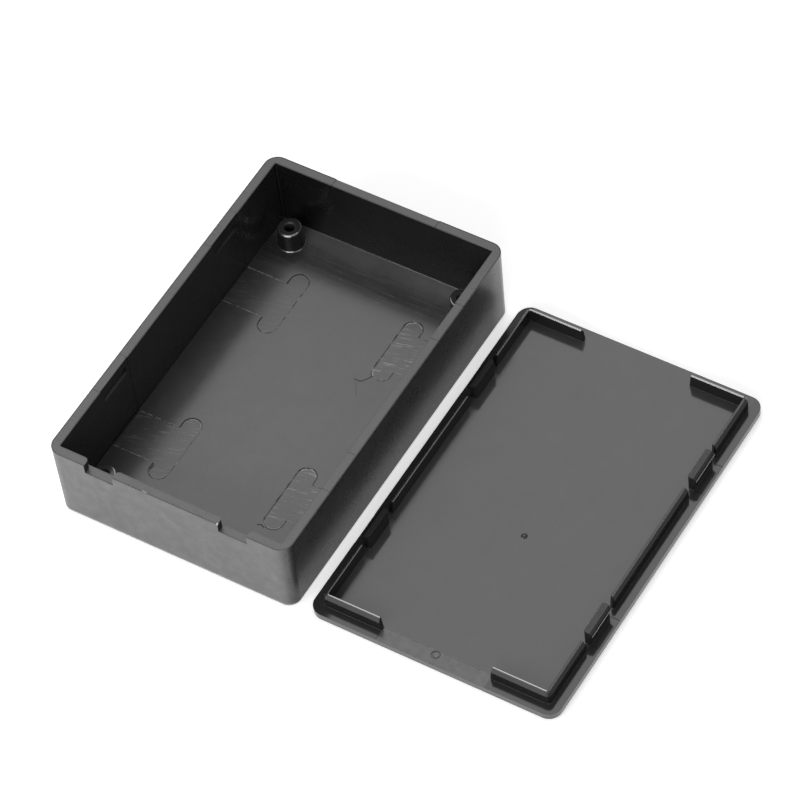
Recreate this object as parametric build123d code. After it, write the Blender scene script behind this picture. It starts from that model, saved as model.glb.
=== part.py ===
"""Snap-lid project box: a moulded tray, with its lid taken off and laid inside up beside it.

Millimetres. X runs across the box, Y along it, Z up from the table. The origin is the middle
of the tray's underside. The far short wall is at +Y, the notched one at -Y.
"""
import math
import os

from build123d import *

# Tray
tray_length = 100.0        # outside, along Y at the rim
tray_width = 65.0          # outside, along X at the rim
tray_height = 22.5         # underside to rim
wall = 2.4                 # wall thickness
floor_thick = 2.6
draft = 1.0                # degrees, each wall leans out towards the rim
corner_r = 3.4             # plan radius of the outer corners, at the rim and on the lid
inner_r = 0.3              # plan radius of the inner corners of the tray and of the lid's ribs
base_edge_r = 0.7          # rounding of the tray's lower outer edge
floor_edge_r = 0.25        # rounding where the walls meet the floor

# Screw bosses on the floor
boss_height = 5.6          # above the floor
boss_top_r = 3.05          # before its edge is rounded
boss_draft = 3.0           # degrees, the boss narrows upwards
boss_edge_r = 0.45         # rounding around the top of the boss
boss_hole_r = 1.25         # pilot hole for a self-tapping screw
boss_hole_lead = 0.35      # bevel around the mouth of the hole
boss_hole_floor = 0.6      # plastic left under the hole, above the floor
boss_inset = 5.6           # boss axis to the inner wall faces, at the floor
boss_foot_r = 0.3          # rounding where the boss meets the floor

# Short walls
panel_half = 14.3          # half the width of the plain middle of each short wall
panel_step = 0.15          # how far that middle lies back at the far wall's rim
panel_drop = 8.0           # height over which it runs out to nothing
notch_length = 7.7         # each rim notch of the near wall, outwards from the middle
notch_depth = 2.7          # below the rim
notch_end_r = 1.1          # rounded inner corners of the wall ends beside a notch

# Marks that the mould's lifters leave on the floor and the long walls
mark_depth = 0.12
lifter_width = 11.5        # along the wall
lifter_reach = 13.85       # inner wall at the floor to the slot's middle line
lifter_slot_length = 19.4  # round-ended slot at the lifter's inner end
lifter_slot_width = 5.0

# Lid
lid_thick = 2.6
lid_edge_r = 1.0           # rounding of the lid's show face
lid_gap = 3.2              # between the tray's rim and the lid on the table
lid_ahead = 0.6            # how far the lid lies beyond the tray along +Y

# Locating ribs around the lid's inside
rib_height = 3.9
rib_thick = 1.1
rib_lead_width = 0.6       # lead-in along the outer top edge, across the rib
rib_lead_height = 1.15     # and down its outer face
rib_corner_r = 1.2         # plan radius of the corner ribs, outside
rib_end_draft = 7.0        # degrees, the ends of each rib lean in towards its top
crest_r = 0.2              # rounding of the upper edges of ribs and tabs
fit_gap = 0.3              # between the ribs and the tray's walls when closed

# Snap tabs between the ribs of the long sides
tab_pitch = 48.8           # middle to middle
tab_length = 9.0
tab_thick = 1.7
tab_height = 4.5
tab_corner_r = 0.7         # plan radius of the tab's inner corners
tab_nose = 0.15            # how far the end of the lead-in lies inside the tab's outer face
tab_slot_in = 2.2          # between a tab and the long rib
tab_slot_out = 1.6         # between a tab and the corner rib
barb = 0.75                # how far the barb stands out from the tab
barb_flat = 0.3            # height of the barb's crest
barb_lead = 0.9            # height of the lead-in towards the tab's end
barb_hold = 0.7            # height of the slope that holds the lid down
snap_gap = 0.25            # room around the barb in the wall's recess

# Marks on the lid's inside
gate_x = 1.45
gate_y = -9.4
gate_r = 0.8               # small dome that the gate leaves
gate_height = 0.35
ejector_r = 1.05
ejector_ring = 0.3         # width of the ring that an ejector pin leaves

# Sizes that follow from those above
slope = math.tan(math.radians(draft))
base_width = tray_width - 2 * tray_height * slope
base_length = tray_length - 2 * tray_height * slope
open_width = tray_width - 2 * wall
open_length = tray_length - 2 * wall
cavity_height = tray_height - floor_thick
cavity_width = open_width - 2 * cavity_height * slope
cavity_length = open_length - 2 * cavity_height * slope
rib_x = open_width / 2 - fit_gap
rib_y = open_length / 2 - fit_gap
tab_y = tab_pitch / 2
corner_rib_end = tab_y + tab_length / 2 + tab_slot_out
long_rib_end = tab_y - tab_length / 2 - tab_slot_in
crest_top = tab_height - barb_lead
crest_low = crest_top - barb_flat
gate_ball_r = (gate_r ** 2 + gate_height ** 2) / (2 * gate_height)
past = 1.0                 # how far a cutting shape runs past the face it opens

SIDES = (-1, 1)
LOW = (Align.CENTER, Align.CENTER, Align.MIN)


def cavity(set_back):
    """The inside of the tray, with each long wall moved out by set_back."""
    rise = cavity_height + past
    width = cavity_width + 2 * set_back
    grow = 2 * rise * slope
    foot = Pos(0, 0, floor_thick) * RectangleRounded(width, cavity_length, inner_r)
    mouth = RectangleRounded(width + grow, cavity_length + grow, inner_r)
    return loft([foot, Pos(0, 0, floor_thick + rise) * mouth], ruled=True)


def set_back_panel():
    """Wedge that lays the middle of the far short wall back towards the rim."""
    low = tray_height - panel_drop
    high = tray_height + past
    low_y = base_length / 2 + low * slope
    high_y = base_length / 2 + high * slope - panel_step * (high - low) / panel_drop
    out_y = tray_length / 2 + past
    side = make_face(Polyline((low_y, low), (high_y, high), (out_y, high), (out_y, low), close=True))
    return extrude(Plane.YZ * side, amount=panel_half, both=True)


def notch(side):
    """Rim notch in the near wall."""
    cut = Box(notch_length, wall + 2 * past, notch_depth + past, align=LOW)
    middle_x = side * (panel_half + notch_length / 2)
    return Pos(middle_x, (wall - tray_length) / 2, tray_height - notch_depth) * cut


def lifter(side_x, side_y):
    """Mark of one lifter on the floor: a strip out to the long wall, and a round-ended slot."""
    slot_x = cavity_width / 2 - lifter_reach
    reach = lifter_reach + mark_depth
    slot = SlotOverall(lifter_slot_length, lifter_slot_width, rotation=90)
    outline = Pos(side_x * (slot_x + reach / 2), side_y * tab_y) * Rectangle(reach, lifter_width)
    outline += Pos(side_x * slot_x, side_y * tab_y) * slot
    return Pos(0, 0, floor_thick - mark_depth) * extrude(outline, amount=mark_depth)


def snap_recess(side_x, side_y):
    """Pocket in a long wall that takes one barb of the closed lid."""
    inner = cavity_width / 2 - past
    outer = rib_x + barb + snap_gap
    low = tray_height - tab_height - snap_gap
    high = tray_height - crest_low + barb_hold + snap_gap
    pocket = Box(outer - inner, tab_length + 2 * snap_gap, high - low, align=LOW)
    return Pos(side_x * (outer + inner) / 2, side_y * tab_y, low) * pocket


def boss():
    """Screw boss with a blind pilot hole, turned from its profile and standing on z = 0."""
    foot_r = boss_top_r + boss_height * math.tan(math.radians(boss_draft))
    flare = boss_foot_r * math.tan(math.radians(45 - boss_draft / 2))
    foot = JernArc((foot_r + flare, 0), (-1, 0), boss_foot_r, boss_draft - 90)
    mouth_r = boss_hole_r + boss_hole_lead
    rest = Polyline(
        foot @ 1, (boss_top_r, boss_height), (mouth_r, boss_height),
        (boss_hole_r, boss_height - boss_hole_lead), (boss_hole_r, boss_hole_floor),
        (0, boss_hole_floor), (0, 0), foot @ 0)
    section = make_face(foot + rest)
    top_edge = section.vertices().group_by(Axis.Y)[-1].sort_by(Axis.X)[-1]
    section = fillet(top_edge, boss_edge_r)
    return revolve(Plane.XZ * section, Axis.Z)


def make_tray():
    """Open tray with bosses, snap recesses, rim notches and mould marks."""
    outline = RectangleRounded(base_width, base_length, corner_r - tray_height * slope)
    tray = extrude(outline, amount=tray_height, taper=-draft)
    tray = fillet(tray.edges().group_by(Axis.Z)[0], base_edge_r)
    tray -= set_back_panel()
    room = cavity(0)
    tray -= fillet(room.edges().group_by(Axis.Z)[0], floor_edge_r)
    for side in SIDES:
        tray -= notch(side)
    uprights = tray.edges().filter_by_position(
        Axis.Z, tray_height - notch_depth, tray_height, inclusive=(False, False))
    inner_ends = uprights.filter_by_position(Axis.Y, (wall - tray_length) / 2, 0)
    tray = fillet(inner_ends, notch_end_r)

    boss_x = cavity_width / 2 - boss_inset
    boss_y = cavity_length / 2 - boss_inset
    moved_wall = cavity(mark_depth)
    for side_x in SIDES:
        for side_y in SIDES:
            strip = Box(wall, lifter_width, cavity_height + past, align=LOW)
            tray -= moved_wall & Pos(side_x * open_width / 2, side_y * tab_y, floor_thick) * strip
            tray -= lifter(side_x, side_y)
            tray -= snap_recess(side_x, side_y)
            tray += Pos(side_x * boss_x, side_y * boss_y, floor_thick) * boss()
    return tray


def rib_ring():
    """The locating ribs on z = 0: one ring with a lead-in, opened where there is no rib."""
    shoulder = rib_height - rib_lead_height
    outline = RectangleRounded(2 * rib_x, 2 * rib_y, rib_corner_r)
    top_x = rib_x - rib_lead_width
    top_y = rib_y - rib_lead_width
    top = RectangleRounded(2 * top_x, 2 * top_y, rib_corner_r - rib_lead_width)
    ring = extrude(outline, amount=shoulder)
    ring += loft([Pos(0, 0, shoulder) * outline, Pos(0, 0, rib_height) * top], ruled=True)
    ring = fillet(ring.edges().filter_by_position(Axis.Z, shoulder, shoulder), crest_r)
    inside = RectangleRounded(2 * (rib_x - rib_thick), 2 * (rib_y - rib_thick), inner_r)
    ring -= extrude(inside, amount=rib_height)
    ring = fillet(ring.edges().group_by(Axis.Z)[-1], crest_r)
    ring -= extrude(Rectangle(2 * panel_half, 2 * rib_y), amount=rib_height, taper=-rib_end_draft)
    window = corner_rib_end - long_rib_end
    opening = extrude(Rectangle(2 * rib_x, window), amount=rib_height, taper=-rib_end_draft)
    for side in SIDES:
        ring -= Pos(0, side * (corner_rib_end - window / 2)) * opening
    return ring


def snap_tab():
    """Tab of the +X side, standing on z = 0, with the barb along its outer face."""
    inner = rib_x - tab_thick
    section = make_face(Polyline(
        (inner, 0), (rib_x, 0), (rib_x, crest_low - barb_hold), (rib_x + barb, crest_low),
        (rib_x + barb, crest_top), (rib_x - tab_nose, tab_height), (inner, tab_height), close=True))
    section = fillet(section.vertices().filter_by_position(Axis.Y, crest_low, tab_height), crest_r)
    tab = extrude(Plane.XZ * section, amount=tab_length / 2, both=True)
    width = tab_thick + barb
    plan = Pos(inner + width / 2, 0) * Rectangle(width, tab_length)
    plan = fillet(plan.vertices().group_by(Axis.X)[0], tab_corner_r)
    return tab & extrude(plan, amount=tab_height)


def make_lid():
    """Flat lid resting on its show face, with ribs, snap tabs and mould marks on its inside."""
    lid = extrude(RectangleRounded(tray_width, tray_length, corner_r), amount=lid_thick)
    lid = fillet(lid.edges().group_by(Axis.Z)[0], lid_edge_r)

    # The slide that forms a barb leaves a shallow mark from the tab out to the lid's edge
    mark_width = tray_width / 2 - rib_x
    for side_x in SIDES:
        for side_y in SIDES:
            mark = Box(mark_width, tab_length, mark_depth, align=LOW)
            lid -= Pos(side_x * (rib_x + mark_width / 2), side_y * tab_y, lid_thick - mark_depth) * mark

    # Gate mark in the panel
    lid += Pos(gate_x, gate_y, lid_thick + gate_height - gate_ball_r) * Sphere(gate_ball_r)

    # Shallow mark between the near ribs, with the ring of an ejector pin in it
    margin = tray_length / 2 - rib_y + rib_thick
    mark = Box(2 * panel_half, margin, mark_depth, align=LOW)
    lid -= Pos(0, (margin - tray_length) / 2, lid_thick - mark_depth) * mark
    ring = Cylinder(ejector_r, 2 * mark_depth, align=LOW)
    ring -= Cylinder(ejector_r - ejector_ring, 2 * mark_depth, align=LOW)
    lid -= Pos(0, -rib_y, lid_thick - 2 * mark_depth) * ring

    lid += Pos(0, 0, lid_thick) * rib_ring()
    for side_y in SIDES:
        tab = Pos(0, side_y * tab_y, lid_thick) * snap_tab()
        lid += tab
        lid += mirror(tab, about=Plane.YZ)
    return lid


os.makedirs("parts", exist_ok=True)
tray = make_tray()
lid = Pos(tray_width + lid_gap, lid_ahead, 0) * make_lid()
export_step(tray, "parts/tray.step")
export_step(lid, "parts/lid.step")
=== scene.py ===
"""Looks of the snap-lid project box: satin black moulded plastic on a white table."""

import math
from types import SimpleNamespace

import bpy
from mathutils import Matrix, Vector


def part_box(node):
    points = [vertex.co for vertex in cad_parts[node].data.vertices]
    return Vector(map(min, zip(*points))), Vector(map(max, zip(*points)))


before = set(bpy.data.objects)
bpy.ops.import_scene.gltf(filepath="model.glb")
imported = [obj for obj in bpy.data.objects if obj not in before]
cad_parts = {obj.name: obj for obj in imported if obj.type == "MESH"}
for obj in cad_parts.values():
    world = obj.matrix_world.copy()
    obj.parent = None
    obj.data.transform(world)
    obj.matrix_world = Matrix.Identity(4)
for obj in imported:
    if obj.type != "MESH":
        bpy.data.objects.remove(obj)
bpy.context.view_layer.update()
scene = bpy.context.scene
MM = 0.001
tray_low, tray_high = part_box("tray")
lid_low, lid_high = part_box("lid")
tray_middle = Vector((0, 0, 0))
lid_middle = Vector(((lid_low.x + lid_high.x) / 2, (lid_low.y + lid_high.y) / 2, 0))

# Sizes of the tray in millimetres, from the middle of its underside
outer_half_x = (tray_high.x - tray_low.x) / 2 / MM    # middle to the outer wall faces, at the rim
outer_half_y = (tray_high.y - tray_low.y) / 2 / MM
rim_z = tray_high.z / MM
wall = 2.4                 # wall thickness
draft = 1.0                # degrees, each wall leans out towards the rim
corner_r = 3.4             # plan radius of the outer corners
inner_r = 0.3              # plan radius of the inner corners
floor_z = 2.6              # top of the floor
panel_half = 14.3          # half the plain middle of the short walls
notch_depth = 2.7          # rim notches of the near wall
notch_clear = 0.4          # the rim starts this far below the floors of its notches
boss_inset = 5.6           # boss axis to the inner wall faces, at the floor
boss_r = 4.3               # boss with its foot
boss_hole_r = 1.6          # pilot hole with its bevel
boss_draft = 3.0           # degrees, the boss narrows upwards
tab_y = 24.4               # middle of each snap tab and of the lifter mark below it
lifter_half = 5.75         # half the width of a lifter mark
lifter_reach = 13.85       # inner wall at the floor to the middle line of the mark's slot
slot_half = 7.2            # straight half of that slot
slot_r = 2.5               # its round ends

# Sizes of the lid, from the middle of its underside
panel_z = 2.6              # face of the panel
rib_height = 3.9
rib_thick = 1.1
rib_lead = 0.6             # width of the slope along the outer top edge of a rib
fit_gap = 0.3              # between the ribs and the tray's walls when closed
tab_half = 4.5             # half the length of a snap tab
crest_r = 0.2              # rounded edges of the ribs' crests
barb_clear = 0.5           # this far out from the ribs only the barbs stand above the panel
ejector_r = 0.9            # middle line of the ejector pin's ring
lid_edge_r = 0.12          # rounding that the lid's look adds to its sharp edges

# Sizes that follow from those above
rim_half_x = outer_half_x - wall       # middle to the inner wall faces, at the rim
rim_half_y = outer_half_y - wall
lean = (rim_z - floor_z) * math.tan(math.radians(draft))
floor_half_x = rim_half_x - lean       # middle to the inner wall faces, at the floor
floor_half_y = rim_half_y - lean
rim_low_z = rim_z - notch_depth - notch_clear
boss_x = floor_half_x - boss_inset
boss_y = floor_half_y - boss_inset
slot_x = floor_half_x - lifter_reach
rib_top_z = panel_z + rib_height
rib_x = rim_half_x - fit_gap           # middle to the outer faces of the ribs
rib_y = rim_half_y - fit_gap
barb_x = rib_x + barb_clear

# Plastic in general: refraction, a trace of blue, and shine from matt to full
plastic_ior = 1.6
polish_ior = 2.2
tint = (1.0, 1.0, 1.02)
matt_shine = 0.12
low_shine = 0.18
plain_shine = 0.5
full_shine = 1.0

# Greys of the tray, as the share of light that is scattered
wall_grey = 0.015
# Painted shade: the far wall's inner face is darker than the other inner walls
far_wall_shade_grey = 0.004
outside_grey = 0.032
front_lit_grey = 0.10          # the notched wall, with painted light that makes it paler than the other outer walls
front_clouds = 0.12        # how far its clouds change it
front_line_glint_grey = 0.16     # painted highlight, added on the pale line along its foot
far_grey = 0.038           # surfaces that face up, at the far end, with painted light that makes them paler than the walls
near_grey = 0.058          # and at the near end
near_rim_grey = 0.065
# Painted light: the tops of the bosses are paler than their sides, of one plastic
boss_side_grey = 0.010
boss_top_grey = 0.028
dull_and_lit_grey = 0.060          # painted light, added along the foot of the far wall
streak_grey = 0.010        # added on the streaks before it
lifter_grey = 0.006        # added on the lifter marks
drag_grey = 0.18           # added on the drag lines across them
speck_grey = 0.03          # added on the specks between those lines
burr_glint_grey = 0.16           # painted highlight, added on the burrs around them
chip_grey = 0.7
scrape_grey = 0.3

# Shares that painted shade takes from the greys of the tray: in a band before the far wall, along the left
# wall, in sunk marks, on the rim's inner edge and at the notch ends
shade_loss = 0.35
wall_shade_loss = 0.4
sunk_shade_loss = 0.85
rim_edge_shade_loss = 0.6
notch_end_shade_loss = 0.8

# Roughness of the tray
inside_rough = 0.20
outside_rough = 0.36
right_rough = 0.28         # the right outer wall
rim_rough = 0.28
wall_rough = 0.28
boss_rough = 0.12
dark_rough = 0.6           # pilot holes and the foot of the long walls

# Relief of the tray in millimetres
inside_grain = 0.0010
outside_grain = 0.0045
right_grain = 0.0012
outside_wave = 0.05
flow_relief = 0.0040
drag_relief = 0.022
burr_relief = 0.03
rim_edge_drop = 0.10
sunk_depth = 0.05

# Greys, roughness and relief of the lid
# Painted light: faces of the lid that look up are paler than its sides and ribs, though all are one plastic
lid_side_grey = 0.012
lid_up_grey = 0.040
# Painted shade on the margin outside the ribs
margin_shade_grey = 0.025
lid_near_grey = 0.060      # the near margin, which is dustier
lid_near_blotch = 0.08     # how far its blotches change it
rib_grey = 0.012
glint_grey = 0.05          # painted highlight, added on the step at the near margin and inside the ejector's ring
panel_rough = 0.13
rib_rough = 0.14
tab_top_rough = 0.5
lid_grain = 0.0010
lid_flow = 0.0012
blotch_relief = 0.02
ring_depth = 0.06


class Look:
    """Short ways to lay out the nodes of one material. Lengths inside a look are millimetres."""

    def __init__(self, name):
        self.material = bpy.data.materials.new(name)
        self.material.use_nodes = True
        self.tree = self.material.node_tree
        self.tree.nodes.clear()

    def node(self, kind, **settings):
        made = self.tree.nodes.new("ShaderNode" + kind)
        for key, value in settings.items():
            setattr(made, key, value)
        return made

    def feed(self, socket, value):
        if isinstance(value, bpy.types.NodeSocket):
            self.tree.links.new(value, socket)
        else:
            socket.default_value = value

    def math(self, operation, *values, clamp=False):
        made = self.node("Math", operation=operation, use_clamp=clamp)
        for socket, value in zip(made.inputs, values):
            self.feed(socket, value)
        return made.outputs[0]

    def chain(self, operation, values):
        total = values[0]
        for value in values[1:]:
            total = self.math(operation, total, value)
        return total

    def add(self, *values):
        return self.chain("ADD", values)

    def times(self, *values):
        return self.chain("MULTIPLY", values)

    def most(self, *values):
        return self.chain("MAXIMUM", values)

    def least(self, *values):
        return self.chain("MINIMUM", values)

    def less(self, value, taken):
        return self.math("SUBTRACT", value, taken)

    def absolute(self, value):
        return self.math("ABSOLUTE", value)

    def other(self, share):
        """1 where share is 0, 0 where it is 1."""
        return self.math("SUBTRACT", 1.0, share, clamp=True)

    def without(self, value, share, loss=1.0):
        """value, less that part of it where share is 1."""
        return self.times(value, self.other(self.times(share, loss)))

    def step(self, value, low, high):
        """0 below low, 1 above high, smooth between; low above high turns it round."""
        made = self.node("MapRange", interpolation_type="SMOOTHSTEP")
        self.feed(made.inputs["Value"], value)
        turned = low > high
        made.inputs["From Min"].default_value = min(low, high)
        made.inputs["From Max"].default_value = max(low, high)
        made.inputs["To Min"].default_value = 1.0 if turned else 0.0
        made.inputs["To Max"].default_value = 0.0 if turned else 1.0
        return made.outputs["Result"]

    def within(self, away, reach, solid, gone):
        """1 where away is below solid times reach, 0 beyond gone times reach."""
        return self.step(away, reach * gone, reach * solid)

    def line(self, value, middle, half_width):
        """1 where value is within half_width of middle."""
        away = self.absolute(self.less(value, middle))
        return self.within(away, half_width, solid=0.6, gone=1.4)

    def mix(self, share, a, b):
        """a where share is 0, b where it is 1."""
        return self.add(a, self.times(share, self.less(b, a)))

    def length(self, *values):
        return self.math("SQRT", self.add(*[self.times(value, value) for value in values]))

    def box_distance(self, side_x, side_y, half_x, half_y, radius):
        """Distance outwards from a rectangle with rounded corners, below 0 inside it."""
        past_x = self.less(side_x, half_x - radius)
        past_y = self.less(side_y, half_y - radius)
        corner = self.length(self.most(past_x, 0.0), self.most(past_y, 0.0))
        inside = self.least(self.most(past_x, past_y), 0.0)
        return self.less(self.add(corner, inside), radius)

    def stretch(self, vector, x, y):
        made = self.node("VectorMath", operation="MULTIPLY")
        self.feed(made.inputs[0], vector)
        made.inputs[1].default_value = (x, y, 1.0)
        return made.outputs[0]

    def noise(self, vector, per_mm=1.0, detail=2.0, rough=0.5):
        """Noise about 0, mostly within -0.5 and 0.5."""
        made = self.node("TexNoise")
        self.feed(made.inputs["Vector"], vector)
        made.inputs["Scale"].default_value = per_mm
        made.inputs["Detail"].default_value = detail
        made.inputs["Roughness"].default_value = rough
        return self.less(made.outputs["Fac"], 0.5)

    def segment(self, x, y, a, b, half_width):
        """1 within half_width of the line from a to b."""
        dx = b[0] - a[0]
        dy = b[1] - a[1]
        px = self.less(x, a[0])
        py = self.less(y, a[1])
        reach = self.add(self.times(px, dx), self.times(py, dy))
        along = self.math("DIVIDE", reach, dx * dx + dy * dy, clamp=True)
        far = self.length(self.less(px, self.times(along, dx)), self.less(py, self.times(along, dy)))
        return self.within(far, half_width, solid=0.5, gone=1.3)

    def path(self, x, y, points, half_width):
        return self.most(*[self.segment(x, y, a, b, half_width) for a, b in zip(points, points[1:])])

    def spot(self, x, y, middle, radius):
        """1 within radius of middle."""
        far = self.length(self.less(x, middle[0]), self.less(y, middle[1]))
        return self.within(far, radius, solid=0.6, gone=1.3)


def plastic(look, grey, rough, height, shine, edge_r=None):
    """Black moulded plastic from a grey, a roughness, a height, a shine and an edge rounding."""
    colour = look.node("CombineColor")
    for channel, share in zip(colour.inputs, tint):
        look.feed(channel, look.times(grey, share))
    bump = look.node("Bump")
    bump.inputs["Strength"].default_value = 1.0
    bump.inputs["Distance"].default_value = MM
    look.feed(bump.inputs["Height"], height)
    if edge_r:
        edge = look.node("Bevel", samples=6)
        edge.inputs["Radius"].default_value = edge_r * MM
        look.feed(bump.inputs["Normal"], edge.outputs["Normal"])
    shader = look.node("BsdfPrincipled")
    look.feed(shader.inputs["Base Color"], colour.outputs["Color"])
    look.feed(shader.inputs["Roughness"], rough)
    shader.inputs["IOR"].default_value = plastic_ior
    look.feed(shader.inputs["Specular IOR Level"], shine)
    look.feed(shader.inputs["Normal"], bump.outputs["Normal"])
    out = look.node("OutputMaterial")
    look.feed(out.inputs["Surface"], shader.outputs["BSDF"])
    return look.material


def place_from(look, centre):
    """The point on the surface, in millimetres from centre."""
    where = look.node("TexCoord")
    scaled = look.node("VectorMath", operation="MULTIPLY_ADD")
    look.feed(scaled.inputs[0], where.outputs["Object"])
    scaled.inputs[1].default_value = (1 / MM,) * 3
    scaled.inputs[2].default_value = tuple(-c / MM for c in centre)
    return scaled.outputs[0]


def places(look, centre):
    """The point on the surface and its parts, and how far the surface faces up and +X."""
    place = place_from(look, centre)
    parts = look.node("SeparateXYZ")
    look.feed(parts.inputs[0], place)
    x, y, z = parts.outputs
    where = look.node("TexCoord")
    facing = look.node("SeparateXYZ")
    look.feed(facing.inputs[0], where.outputs["Normal"])
    return SimpleNamespace(
        place=place, x=x, y=y, z=z,
        side_x=look.absolute(x),
        side_y=look.absolute(y),
        up=look.step(facing.outputs["Z"], 0.6, 0.9),
        across=look.step(facing.outputs["X"], 0.3, 0.7),
    )


def tray_noises(look, at):
    """The tray's noises: clouds and specks, lines along and across it, and slanting drag lines."""
    slanted = look.node("CombineXYZ")
    look.feed(slanted.inputs["X"], look.times(at.x, 0.16))
    look.feed(slanted.inputs["Y"], look.times(look.less(at.y, look.times(at.x, 0.22)), 1.9))
    return SimpleNamespace(
        clouds=look.noise(at.place, per_mm=0.16, detail=3.0, rough=0.55),
        mottle=look.noise(at.place, per_mm=0.30, detail=4.0, rough=0.65),
        specks=look.noise(at.place, per_mm=1.7, rough=0.6),
        grain=look.noise(at.place, per_mm=4.0, rough=0.6),
        wave=look.noise(at.place, per_mm=0.10),
        mood=look.noise(at.place, per_mm=0.45),
        gaps=look.noise(at.place, per_mm=1.1, rough=0.6),
        streaks=look.noise(look.stretch(at.place, 0.10, 1.5), detail=3.0, rough=0.6),
        flow=look.noise(look.stretch(at.place, 1.6, 0.05), detail=3.0, rough=0.6),
        drag=look.noise(slanted.outputs[0], detail=3.0, rough=0.65),
    )


def tray_zones(look, at):
    """Where on the tray a point lies, each a share from 0 to 1."""
    floor = look.times(at.up, look.step(at.z, floor_z + 0.6, floor_z + 0.3))
    rim = look.times(at.up, look.step(at.z, rim_low_z - 0.4, rim_low_z))

    # The rim's inner edge is softer on the right wall and on the near wall
    from_inner = look.box_distance(at.side_x, at.side_y, rim_half_x, rim_half_y, inner_r)
    from_outer = look.box_distance(at.side_x, at.side_y, outer_half_x, outer_half_y, corner_r)
    softer = look.most(look.step(at.x, 20.0, 25.0), look.step(at.y, -40.0, -45.0))
    inner_edge = look.times(rim, look.step(from_inner, 0.35, 0.0), look.mix(softer, 1.0, 0.65))
    outer_edge = look.times(rim, look.step(from_outer, -0.3, 0.0))

    outside = look.times(look.step(from_inner, 0.9, 1.1), look.other(at.up))
    front = look.times(outside, look.step(at.y, corner_r - outer_half_y, 0.6 - outer_half_y))
    from_boss = look.length(look.less(at.side_x, boss_x), look.less(at.side_y, boss_y))
    above_floor = look.step(at.z, floor_z + 0.1, floor_z + 0.3)
    boss = look.times(look.step(from_boss, boss_r + 0.1, boss_r - 0.1), above_floor)
    by_floor = look.step(at.z, floor_z + 0.5, floor_z + 0.3)
    by_wall = look.step(at.side_x, floor_half_x - 0.4, floor_half_x - 0.2)
    in_rim = look.step(at.z, rim_low_z, rim_low_z + 0.5)
    in_near_wall = look.step(at.y, 0.1 - rim_half_y, -rim_half_y)
    off_corners = look.step(at.side_x, outer_half_x - 1.5, outer_half_x - 2.5)
    return SimpleNamespace(
        floor=floor, rim=rim, inner_edge=inner_edge, outer_edge=outer_edge, outside=outside,
        front=front, boss=boss,
        right_side=look.times(outside, at.across),
        boss_hole=look.times(boss, look.step(from_boss, boss_hole_r + 0.1, boss_hole_r)),
        foot=look.times(look.other(outside), by_floor, by_wall),
        walls=look.times(look.other(at.up), look.other(outside), look.other(boss)),
        notch_end=look.times(at.across, in_rim, in_near_wall, off_corners),
    )


def lifter_marks(look, at, zone, noise):
    """The lifter marks, by distance to their outline: a strip from the wall and a slot across its end."""
    from_tab = look.absolute(look.less(at.side_y, tab_y))
    strip = look.most(look.less(slot_x, at.side_x), look.less(from_tab, lifter_half))
    past_end = look.most(look.less(from_tab, slot_half), 0.0)
    slot = look.less(look.length(look.less(at.side_x, slot_x), past_end), slot_r)
    outline = look.least(strip, slot)
    inside = look.times(zone.floor, look.step(outline, 0.05, -0.05))
    edge = look.times(zone.floor, look.line(outline, 0.0, half_width=0.13))
    on_strip = look.step(look.less(slot, strip), -0.2, 0.4)
    beside_strip = look.step(from_tab, lifter_half - 0.2, lifter_half + 0.3)
    neck = look.times(beside_strip, look.step(at.side_x, slot_x, slot_x + 0.6))

    # The right marks are dragged most, the far left one least
    left_drag = look.mix(look.step(at.y, 5.0, -5.0), 0.15, 0.55)
    drag_share = look.mix(look.step(at.x, -2.0, 2.0), left_drag, 1.0)

    # Burrs along the strips with painted highlight, broken round the slots into painted highlight and
    # grooves with painted shade
    pale = look.times(look.other(neck), look.step(noise.mood, 0.05, 0.12))
    dark_neck = look.times(neck, look.step(noise.mood, -0.2, -0.1))
    dark = look.most(dark_neck, look.step(noise.mood, -0.03, -0.11))
    broken = look.step(noise.gaps, -0.12, 0.05)
    cap_line = look.line(outline, -0.3, half_width=0.14)
    cap = look.times(zone.floor, cap_line, look.step(past_end, 0.2, 1.0), drag_share)
    edge_burr = look.times(edge, broken, look.most(on_strip, pale))
    return SimpleNamespace(
        from_tab=from_tab, inside=inside,
        dragged=look.times(inside, drag_share),
        burr=look.add(edge_burr, look.times(cap, broken, 1.6)),
        groove=look.times(edge, look.other(on_strip), look.most(dark, 0.35)),
    )


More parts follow.
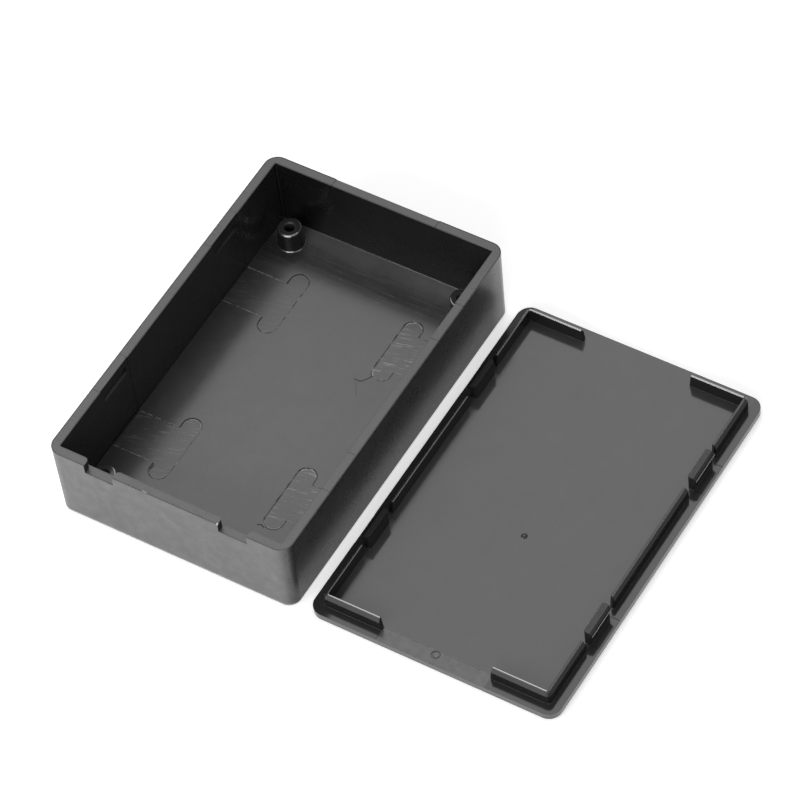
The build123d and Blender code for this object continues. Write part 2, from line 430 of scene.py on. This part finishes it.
def tray_marks_light_and_shade(look, at, zone, lifter, noise):
    """Wear and mould marks of the tray, and the painted shade and painted light on its floor, each a share
    that is mostly from 0 to 1.
    """
    # Painted shade darkens the floor in a band before the far wall, and painted light makes it paler along
    # the wall's foot, where it is also rougher, with streaks across
    from_far = look.less(floor_half_y, at.y)
    to_right = look.mix(look.step(at.x, 4.0, 16.0), 0.8, 1.2)
    dull_and_lit = look.times(zone.floor, look.step(from_far, 10.0, 0.5), to_right, look.add(1.0, noise.mottle))
    far_end = look.step(from_far, 17.0, 12.0)
    streaked = look.times(zone.floor, far_end, look.step(noise.streaks, -0.2, 0.4))
    shade = look.times(zone.floor, look.step(from_far, 15.0, 11.0), look.step(from_far, 2.0, 6.0))
    # Painted shade on the floor along the left wall
    wall_shade = look.times(zone.floor, look.step(at.x, -22.0, -29.0))

    # Single marks on the floor
    hook_points = [(11.2, 12.6), (12.8, 12.6), (14.0, 14.2), (14.5, 15.3)]
    hook = look.path(at.x, at.y, hook_points, half_width=0.13)
    tail = look.path(at.x, at.y, [(11.9, 11.9), (14.0, 8.7)], half_width=0.08)
    nick = look.path(at.x, at.y, [(13.0, -34.3), (13.9, -33.9), (14.7, -34.4)], half_width=0.16)
    slit = look.path(at.x, at.y, [(-18.0, -32.2), (-17.9, -30.8)], half_width=0.16)
    scuffed = look.path(at.x, at.y, [(13.3, -6.0), (14.0, 4.0)], half_width=0.5)
    scuff = look.times(scuffed, look.step(noise.specks, 0.0, 0.2))
    faint = look.add(look.times(tail, 0.4), look.times(scuff, 0.15))
    marks = look.times(zone.floor, look.add(hook, nick, slit, faint))

    # Seams of the mould across the rim, and a dent, a chip and a scrape at the notches
    on_far_wall = look.step(at.y, rim_half_y - 0.6, rim_half_y - 0.4)
    on_long_wall = look.step(at.side_x, rim_half_x - 0.6, rim_half_x - 0.4)
    seam_far = look.times(look.line(at.side_x, panel_half, half_width=0.08), on_far_wall)
    seam_side = look.times(look.line(lifter.from_tab, 5.8, half_width=0.07), on_long_wall)
    seams = look.times(zone.rim, look.add(seam_far, look.times(seam_side, 0.8)))
    dented = look.path(at.x, at.z, [(-15.6, 19.8), (-14.7, 19.8)], half_width=0.2)
    dent = look.times(zone.front, dented)
    chip = look.spot(at.x, at.y, (14.2, -49.75), radius=0.25)
    scrape = look.path(at.x, at.y, [(-6.0, -49.7), (-5.1, -49.8)], half_width=0.14)
    return SimpleNamespace(
        dull_and_lit=dull_and_lit, streaked=streaked, shade=shade, wall_shade=wall_shade, marks=marks,
        sunk=look.add(marks, seams, lifter.groove, dent),
        chip=look.times(chip, look.step(at.z, rim_z - 0.6, rim_z - 0.4)),
        scrape=look.times(zone.rim, scrape),
    )


def tray_grey(look, at, zone, lifter, marks_light_and_shade, noise):
    """Near black, dustier outside, cloudy at several scales; painted light makes the notched wall, the
    faces that look up, the boss tops and the burrs paler, and painted shade darkens the far wall, parts of
    the floor, the sunk marks, the rim's inner edge, the wall feet and the notch ends.
    """
    at_far_wall = look.step(at.y, rim_half_y - 1.0, rim_half_y - 0.7)
    # Painted shade on the inner face of the far wall
    grey = look.mix(zone.outside, look.mix(at_far_wall, wall_grey, far_wall_shade_grey), outside_grey)
    # Painted light on the notched wall, with clouds
    grey = look.mix(zone.front, grey, look.add(front_lit_grey, look.times(noise.mottle, front_clouds)))
    # Painted highlight along the foot of the notched wall
    front_line = look.times(zone.front, look.line(at.z, 0.8, half_width=0.22))
    grey = look.add(grey, look.times(front_line, front_line_glint_grey))
    # Painted light on the faces that look up, paler towards the near end
    grey = look.mix(at.up, grey, look.mix(look.step(at.y, 25.0, -35.0), far_grey, near_grey))
    near_rim = look.times(zone.rim, look.step(at.y, 1.1 - rim_half_y, 0.1 - rim_half_y))
    grey = look.mix(near_rim, grey, near_rim_grey)
    # Painted light on the boss tops
    grey = look.mix(zone.boss, grey, look.mix(at.up, boss_side_grey, boss_top_grey))
    grey = look.times(grey, look.add(1.0, look.times(noise.clouds, 0.5), look.times(noise.specks, 0.25)))

    # Painted shade in the band before the far wall
    grey = look.without(grey, marks_light_and_shade.shade, shade_loss)
    # Painted shade along the left wall
    grey = look.without(grey, marks_light_and_shade.wall_shade, wall_shade_loss)
    # Painted light along the foot of the far wall, and streaks
    grey = look.add(grey, look.times(marks_light_and_shade.dull_and_lit, dull_and_lit_grey), look.times(marks_light_and_shade.streaked, streak_grey))

    drag_lines = look.times(lifter.dragged, look.step(noise.drag, 0.05, 0.19))
    drag_specks = look.times(lifter.dragged, look.step(noise.specks, 0.10, 0.25))
    grey = look.add(grey, look.times(drag_lines, drag_grey), look.times(lifter.dragged, lifter_grey))
    # Specks between the drag lines, and painted highlight on the burrs
    grey = look.add(grey, look.times(drag_specks, speck_grey), look.times(lifter.burr, burr_glint_grey))

    # Painted shade in the sunk marks, seams, lifter grooves and dent
    grey = look.without(grey, marks_light_and_shade.sunk, sunk_shade_loss)
    # Painted shade along the rim's inner edge
    grey = look.without(grey, zone.inner_edge, rim_edge_shade_loss)
    # Painted shade in the crease at the foot of the long walls
    grey = look.without(grey, zone.foot)
    # Painted shade on the end faces of the notches
    grey = look.without(grey, zone.notch_end, notch_end_shade_loss)
    grey = look.mix(marks_light_and_shade.chip, grey, chip_grey)
    return look.mix(marks_light_and_shade.scrape, grey, scrape_grey)


def tray_rough(look, at, zone, lifter, marks_light_and_shade, noise):
    """Satin inside, rougher outside and where it is worn, smoother on the bosses."""
    rough = look.mix(zone.outside, inside_rough, look.mix(at.across, outside_rough, right_rough))
    rough = look.mix(zone.rim, rough, rim_rough)
    rough = look.mix(zone.walls, rough, wall_rough)
    rough = look.mix(zone.boss, rough, boss_rough)
    rough = look.mix(look.most(zone.foot, zone.boss_hole), rough, dark_rough)
    rough = look.add(rough, look.times(marks_light_and_shade.dull_and_lit, 0.14), look.times(marks_light_and_shade.streaked, 0.10))
    rough = look.add(rough, look.times(lifter.inside, 0.04), look.times(marks_light_and_shade.marks, 0.3))
    rough = look.add(rough, look.times(noise.clouds, 0.06), look.times(noise.specks, 0.04))
    return look.add(rough, look.times(lifter.dragged, look.absolute(noise.drag), 0.35))


def tray_height(look, at, zone, lifter, marks_light_and_shade, noise):
    """Fine grain, waves outside, flow lines on the floor, burrs, sunk marks and rounded rim edges."""
    outside_relief = look.mix(at.across, outside_grain, right_grain)
    height = look.times(noise.grain, look.mix(zone.outside, inside_grain, outside_relief))
    height = look.add(height, look.times(zone.outside, noise.wave, outside_wave))
    height = look.add(height, look.times(zone.floor, noise.flow, flow_relief))
    height = look.add(height, look.times(lifter.dragged, noise.drag, drag_relief))
    height = look.add(height, look.times(lifter.burr, burr_relief))
    rim_edges = look.add(zone.inner_edge, zone.outer_edge)
    height = look.less(height, look.times(rim_edges, rim_edge_drop))
    return look.less(height, look.times(marks_light_and_shade.sunk, sunk_depth))


def tray_look():
    look = Look("tray_plastic")
    at = places(look, tray_middle)
    noise = tray_noises(look, at)
    zone = tray_zones(look, at)
    lifter = lifter_marks(look, at, zone, noise)
    marks_light_and_shade = tray_marks_light_and_shade(look, at, zone, lifter, noise)
    grey = tray_grey(look, at, zone, lifter, marks_light_and_shade, noise)
    rough = tray_rough(look, at, zone, lifter, marks_light_and_shade, noise)
    height = tray_height(look, at, zone, lifter, marks_light_and_shade, noise)
    right_shine = look.mix(look.step(at.y, 41.0, 49.0), low_shine, full_shine)
    shine = look.mix(zone.right_side, plain_shine, right_shine)
    return plastic(look, grey, rough, height, shine)


def lid_zones(look, at):
    """Where on the lid a point lies, each a share from 0 to 1."""
    panel = look.times(at.up, look.step(at.z, panel_z + 0.3, panel_z + 0.1))
    past_ribs = look.most(look.less(at.side_x, rib_x), look.less(-rib_y, at.y))
    ribs = look.step(at.z, panel_z + 0.15, panel_z + 0.35)
    tab_tops = look.step(at.z, rib_top_z + 0.05, rib_top_z + 0.15)

    # Matt are the left margin, the slopes along the long ribs and the tops of the left tabs
    left_margin = look.times(at.up, look.step(at.x, 0.2 - rib_x, -0.2 - rib_x))
    from_tab = look.absolute(look.less(at.side_y, tab_y))
    past_lead = look.step(at.side_x, rib_x - rib_lead, rib_x - rib_lead + 0.1)
    lead = look.times(ribs, past_lead, look.step(from_tab, tab_half + 0.2, tab_half + 0.4))
    left_tops = look.times(tab_tops, look.step(at.x, 0.0, -1.0))

    near_y = rib_thick - rib_y
    between = look.step(at.side_x, panel_half + 0.1, panel_half - 0.1)
    near_step = look.times(at.up, look.line(at.y, near_y, half_width=0.12))
    from_pin = look.length(at.x, look.add(at.y, rib_y))
    in_ring = look.line(from_pin, ejector_r - 0.35, half_width=0.14)
    return SimpleNamespace(
        panel=panel, ribs=ribs, tab_tops=tab_tops,
        margin=look.step(past_ribs, -0.1, 0.1),
        matt=look.most(left_margin, lead, left_tops),
        near=look.times(panel, look.step(at.y, near_y + 0.1, near_y - 0.1), between),
        near_step=look.times(near_step, look.step(at.side_x, panel_half, panel_half - 0.2)),
        ring=look.times(panel, look.line(from_pin, ejector_r, half_width=0.20)),
        glint=look.times(panel, in_ring, look.step(at.x, -0.1, 0.4)),
        outside=look.step(at.z, panel_z - 0.1, panel_z - 0.3),
    )


def lid_look():
    look = Look("lid_plastic")
    at = places(look, lid_middle)
    zone = lid_zones(look, at)
    clouds = look.noise(at.place, per_mm=0.14, detail=3.0, rough=0.55)
    specks = look.noise(at.place, per_mm=1.9, rough=0.6)
    blotch = look.noise(at.place, per_mm=0.45, detail=3.0, rough=0.6)
    flow = look.noise(look.stretch(at.place, 0.05, 1.6), detail=3.0, rough=0.6)
    grain = look.noise(at.place, per_mm=4.0, rough=0.6)

    # Painted light on the faces that look up
    grey = look.mix(at.up, lid_side_grey, lid_up_grey)
    # Painted shade on the margin
    grey = look.mix(zone.margin, grey, margin_shade_grey)
    grey = look.mix(zone.near, grey, look.add(lid_near_grey, look.times(blotch, lid_near_blotch)))
    grey = look.mix(zone.ribs, grey, rib_grey)
    # Painted shade in the ejector pin's ring
    grey = look.without(grey, zone.ring)
    # Painted highlight on the near step and inside the ring
    grey = look.add(grey, look.times(look.add(zone.near_step, zone.glint), glint_grey))
    grey = look.times(grey, look.add(1.0, look.times(clouds, 0.4), look.times(specks, 0.25)))

    rough = look.mix(zone.ribs, panel_rough, rib_rough)
    rough = look.mix(zone.tab_tops, rough, look.add(tab_top_rough, look.times(specks, 0.3)))
    rough = look.add(rough, look.times(zone.near, 0.08), look.times(clouds, 0.07), look.times(specks, 0.05))

    height = look.add(look.times(grain, lid_grain), look.times(zone.panel, flow, lid_flow))
    height = look.add(height, look.times(zone.near, blotch, blotch_relief))
    height = look.less(height, look.times(zone.ring, ring_depth))
    shine = look.mix(zone.outside, look.mix(zone.matt, plain_shine, matt_shine), full_shine)
    return plastic(look, grey, rough, height, shine, lid_edge_r)


def polished_look():
    """Narrow edges that the mould's polished steel leaves mirror-bright."""
    look = Look("polished_plastic")
    place = place_from(look, tray_middle)
    colour = look.node("CombineColor")
    for channel in colour.inputs:
        look.feed(channel, look.add(0.02, look.times(look.noise(place, per_mm=1.5), 0.02)))
    shader = look.node("BsdfPrincipled")
    look.feed(shader.inputs["Base Color"], colour.outputs["Color"])
    rough = look.add(0.14, look.times(look.noise(place, per_mm=2.0), 0.10))
    look.feed(shader.inputs["Roughness"], rough)
    shader.inputs["IOR"].default_value = polish_ior
    shader.inputs["Specular IOR Level"].default_value = full_shine
    out = look.node("OutputMaterial")
    look.feed(out.inputs["Surface"], shader.outputs["BSDF"])
    return look.material


def leans(part, low=0.3, high=0.95):
    """True where that part of a normal is of a face on a rounded edge."""
    return low < part < high


def lid_polish(place, normal):
    """True on the crests of the ribs, the edges of the right tabs and the outer edges of the barbs."""
    side_x = abs(place.x)
    side_y = abs(place.y)
    crest = rib_top_z - crest_r - 0.05 < place.z < rib_top_z + 0.01
    along_x = crest and side_y > rib_y - rib_thick and side_x < rib_x - rib_thick
    along_x = along_x and normal.z > (0.4 if place.y > 0 else 0.95)
    along_y = crest and side_x > rib_x - rib_thick / 2 - crest_r and leans(abs(normal.x))
    inner_left = crest and place.x < rib_thick + 0.1 - rib_x and leans(normal.x)
    tab_edge = place.x > 0 and place.z > rib_top_z + 0.3 and leans(normal.z)
    barb = side_x > barb_x and place.z > panel_z + 2.0 and abs(normal.x) > 0.75
    return along_x or along_y or inner_left or tab_edge or barb


def tray_polish(place, normal):
    """True on the rounded edges at the top and the foot of each boss and under the right wall."""
    from_boss = math.hypot(abs(place.x) - boss_x, abs(place.y) - boss_y)
    on_boss = boss_hole_r + 0.5 < from_boss < boss_r and place.z > floor_z
    boss_side = math.sin(math.radians(boss_draft))
    boss_edge = on_boss and leans(normal.z, boss_side + 0.05, 0.98)
    under_wall = place.z < floor_z and normal.x > 0.2 and normal.z < -0.05
    return boss_edge or under_wall


def dress(name, look, polished, middle, is_polished):
    """Gives a node its look, and the polished look to the faces that have it."""
    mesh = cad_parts[name].data
    mesh.materials.clear()
    mesh.materials.append(look)
    mesh.materials.append(polished)
    for face in mesh.polygons:
        face.material_index = int(is_polished((face.center - middle) / MM, face.normal))


bright = polished_look()
dress("tray", tray_look(), bright, tray_middle, tray_polish)
dress("lid", lid_look(), bright, lid_middle, lid_polish)

# Stage: table, surround and lights, in metres
table_half = 0.6
table_drop = 0.03 * MM     # keeps the table clear of the undersides
table_paint = (0.86, 0.86, 0.86, 1)
table_glow = 0.44          # added for the camera and for reflections alone
white = (1, 1, 1, 1)
sky_low = 0.14             # strength of the surround, level with the table
sky_high = 0.44            # and overhead
aim = (0.034, 0.0, 0.01)   # what the lights face

# Camera: where the photo's lens stood, and its axes, found from the box's own edges
photo_pixels = 800
focal_pixels = 4894.608
sensor_mm = 36.0
half_pixel = 0.5 / photo_pixels
lens_place = (0.445489, -0.554429, 0.912150)
lens_right = Vector((0.85742, 0.50826, -0.08068))
lens_down = Vector((0.36182, -0.70685, -0.60782))
lens_ahead = Vector((-0.36596, 0.49197, -0.78997))


def table():
    """White table: plain diffuse, and shown near white to the camera and to reflections."""
    mesh = bpy.data.meshes.new("table")
    corners = [(-1, -1), (1, -1), (1, 1), (-1, 1)]
    points = [(u * table_half, v * table_half, -table_drop) for u, v in corners]
    mesh.from_pydata(points, [], [(0, 1, 2, 3)])
    floor = bpy.data.objects.new("table", mesh)
    scene.collection.objects.link(floor)

    look = Look("table_white")
    paint = look.node("BsdfDiffuse")
    paint.inputs["Color"].default_value = table_paint
    glow = look.node("Emission")
    glow.inputs["Color"].default_value = white
    light = look.node("LightPath")
    rays = [light.outputs[f"Is {kind} Ray"] for kind in ("Camera", "Glossy", "Transmission")]
    look.feed(glow.inputs["Strength"], look.times(look.most(*rays), table_glow))
    both = look.node("AddShader")
    look.feed(both.inputs[0], paint.outputs[0])
    look.feed(both.inputs[1], glow.outputs[0])
    out = look.node("OutputMaterial")
    look.feed(out.inputs["Surface"], both.outputs[0])
    mesh.materials.append(look.material)


def soft_light(name, toward, distance, width, height, radiance):
    """Soft light at a distance from aim along toward, facing aim, its height in the upright plane."""
    data = bpy.data.lights.new(name, "AREA")
    data.shape = "RECTANGLE"
    data.size = width
    data.size_y = height
    data.energy = radiance * math.pi * width * height
    lamp = bpy.data.objects.new(name, data)
    way = Vector(toward).normalized()
    lamp.location = Vector(aim) + way * distance
    lamp.rotation_euler = (-way).to_track_quat("-Z", "Y").to_euler()
    lamp.visible_camera = False
    scene.collection.objects.link(lamp)


def sky():
    """Pale surround, brighter overhead, and white where the camera sees it."""
    world = bpy.data.worlds.new("studio")
    scene.world = world
    world.use_nodes = True
    tree = world.node_tree
    tree.nodes.clear()
    where = tree.nodes.new("ShaderNodeTexCoord")
    parts = tree.nodes.new("ShaderNodeSeparateXYZ")
    tree.links.new(where.outputs["Generated"], parts.inputs[0])
    rise = tree.nodes.new("ShaderNodeMapRange")
    tree.links.new(parts.outputs["Z"], rise.inputs["Value"])
    rise.inputs["To Min"].default_value = sky_low
    rise.inputs["To Max"].default_value = sky_high
    light = tree.nodes.new("ShaderNodeLightPath")
    strength = tree.nodes.new("ShaderNodeMix")
    tree.links.new(light.outputs["Is Camera Ray"], strength.inputs["Factor"])
    tree.links.new(rise.outputs["Result"], strength.inputs["A"])
    strength.inputs["B"].default_value = 1.0
    paint = tree.nodes.new("ShaderNodeBackground")
    paint.inputs["Color"].default_value = white
    tree.links.new(strength.outputs["Result"], paint.inputs["Strength"])
    out = tree.nodes.new("ShaderNodeOutputWorld")
    tree.links.new(paint.outputs[0], out.inputs["Surface"])


def camera():
    """The photo's view."""
    data = bpy.data.cameras.new("photo_view")
    data.sensor_fit = "HORIZONTAL"
    data.sensor_width = sensor_mm
    data.lens = focal_pixels * sensor_mm / photo_pixels
    data.shift_x = -half_pixel
    data.shift_y = half_pixel
    data.clip_start = 0.05
    data.clip_end = 50.0
    eye = bpy.data.objects.new("photo_view", data)
    turn = Matrix((lens_right, -lens_down, -lens_ahead)).transposed()
    eye.matrix_world = Matrix.Translation(lens_place) @ turn.to_4x4()
    scene.collection.objects.link(eye)
    scene.camera = eye


# The key light stands where level faces mirror it to the camera, the front one lights the near wall
table()
sky()
key_way = (lens_ahead.x, lens_ahead.y, -lens_ahead.z)
soft_light("key", key_way, distance=1.1, width=1.1, height=1.1, radiance=1.5)
soft_light("front", (0.0, -0.86, 0.5), distance=1.2, width=1.6, height=0.6, radiance=4.5)
camera()

scene.view_settings.view_transform = "Standard"
